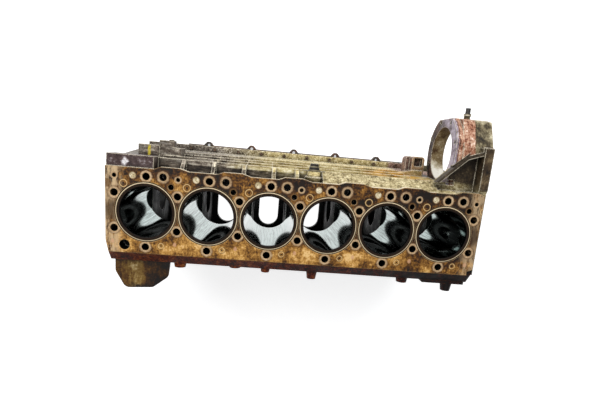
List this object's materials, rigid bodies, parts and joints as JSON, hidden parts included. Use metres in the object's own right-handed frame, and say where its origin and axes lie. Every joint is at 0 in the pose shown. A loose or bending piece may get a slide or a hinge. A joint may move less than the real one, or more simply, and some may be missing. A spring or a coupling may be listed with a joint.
{
  "type": "engine block",
  "caption": "Bare inline diesel engine block with wet cylinder liners, a lower crankcase frame and a side drive housing with a round pump flange",
  "frame": {"origin": "On the crank axis at the middle main bearing, between the third and fourth cylinders", "axes": "+X along the crank to the flywheel end, +Y to the side with the drive housing, +Z along the cylinders to the head deck"},
  "size_m": [0.83, 0.4644, 0.457],
  "materials": {
    "block_casting": "rusty and oily casting with a machined deck",
    "frame_casting": "oily casting",
    "liner_iron": "honed and oiled",
    "plug_steel": "dull",
    "fitting_brass": "dull",
    "cap_black": "matte"
  },
  "bodies": {
    "root": {"cylinder_block": "block_casting", "ladder_frame": "frame_casting", "cylinder_liner_1": "liner_iron", "cylinder_liner_2": "liner_iron", "cylinder_liner_3": "liner_iron", "cylinder_liner_4": "liner_iron", "cylinder_liner_5": "liner_iron", "cylinder_liner_6": "liner_iron", "deck_plug_1": "plug_steel", "deck_plug_2": "plug_steel", "deck_plug_3": "plug_steel", "deck_plug_4": "plug_steel", "deck_plug_5": "plug_steel", "deck_plug_6": "plug_steel", "core_plug_2": "plug_steel", "core_plug_3": "plug_steel", "core_plug_4": "plug_steel", "core_plug_5": "plug_steel", "core_plug_6": "plug_steel", "oil_gallery_plug_front": "plug_steel", "oil_gallery_plug_rear": "plug_steel", "flywheel_housing_dowels": "plug_steel", "housing_fitting": "fitting_brass", "fitting_cap": "cap_black"}
  },
  "joints": []
}
